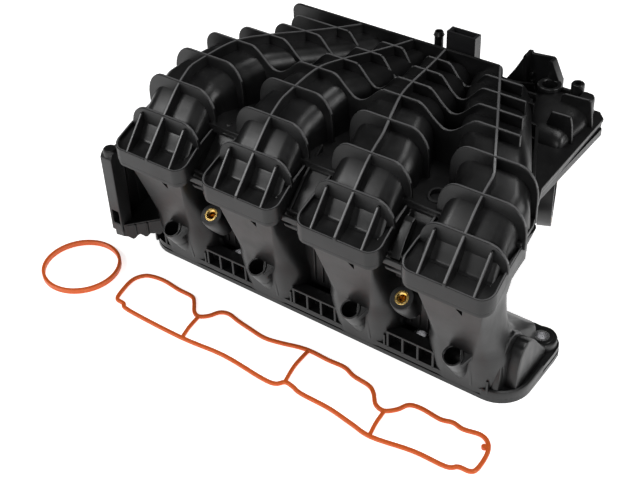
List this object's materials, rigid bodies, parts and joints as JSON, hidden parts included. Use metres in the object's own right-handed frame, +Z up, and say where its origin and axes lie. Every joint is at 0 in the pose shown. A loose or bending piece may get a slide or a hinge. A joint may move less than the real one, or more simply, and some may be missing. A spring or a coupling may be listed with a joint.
{
  "type": "intake manifold",
  "caption": "Moulded plastic intake manifold with ribbed runners curving into a plenum, port flaps on a lever-driven shaft, injector pockets, throttle flange and loose gaskets.",
  "frame": {"origin": "on the head face, midway between the two inner ports, 1.5 mm behind the flange's front edge", "axes": "+X along the row of ports towards the throttle inlet, +Y from the injector side back to the plenum, +Z up from the head face"},
  "size_m": [0.4543, 0.3227, 0.199],
  "materials": {
    "black_nylon": "satin moulded glass-filled nylon",
    "brass": "machined",
    "limiter_steel": "turned",
    "bush_plastic": "plain moulded",
    "screw_steel": "zinc plated",
    "shaft_steel": "ground",
    "flap_brass": "rolled sheet",
    "lever_plastic": "moulded",
    "sensor_plastic": "moulded",
    "seal_rubber": "moulded",
    "orange_silicone": "moulded silicone"
  },
  "bodies": {
    "manifold": {"upper_shell": "black_nylon", "runner_body": "black_nylon", "plenum_pan": "black_nylon", "inlet_duct": "black_nylon", "side_bracket": "black_nylon", "rail_insert_left": "brass", "rail_insert_right": "brass", "limiter_front_left": "limiter_steel", "limiter_front_right": "limiter_steel", "limiter_end_left": "limiter_steel", "limiter_end_right": "limiter_steel", "limiter_rear": "limiter_steel", "throttle_inserts": "brass", "vacuum_nipple": "black_nylon", "vent_port": "black_nylon", "tower_bracket": "black_nylon", "pressure_sensor": "sensor_plastic", "sensor_seal": "seal_rubber", "sensor_screw": "screw_steel", "bush_left": "bush_plastic", "bush_1_2": "bush_plastic", "bush_2_3": "bush_plastic", "bush_3_4": "bush_plastic", "bush_right": "bush_plastic", "shaft_seal": "seal_rubber"},
    "flap_gear": {"flap_shaft": "shaft_steel", "flap_1": "flap_brass", "flap_2": "flap_brass", "flap_3": "flap_brass", "flap_4": "flap_brass", "flap_screws": "screw_steel", "flap_lever": "lever_plastic", "lever_ball_stud": "shaft_steel", "lever_nut": "screw_steel"},
    "loose_head_gasket": {"head_gasket": "orange_silicone"},
    "loose_throttle_gasket": {"throttle_gasket": "orange_silicone"}
  },
  "joints": [
    {"name": "flap_turn", "type": "hinge", "parent": "manifold", "child": "flap_gear", "pos_m": [0, 0.041, 0.02], "axis": [-1, 0, 0], "range_deg": [0, 80]},
    {"name": "head_gasket_lift", "type": "slide", "parent": "manifold", "child": "loose_head_gasket", "axis": [0, 0, 1], "range_m": [0, 0.06]},
    {"name": "throttle_gasket_lift", "type": "slide", "parent": "manifold", "child": "loose_throttle_gasket", "axis": [0, 0, 1], "range_m": [0, 0.025]}
  ]
}
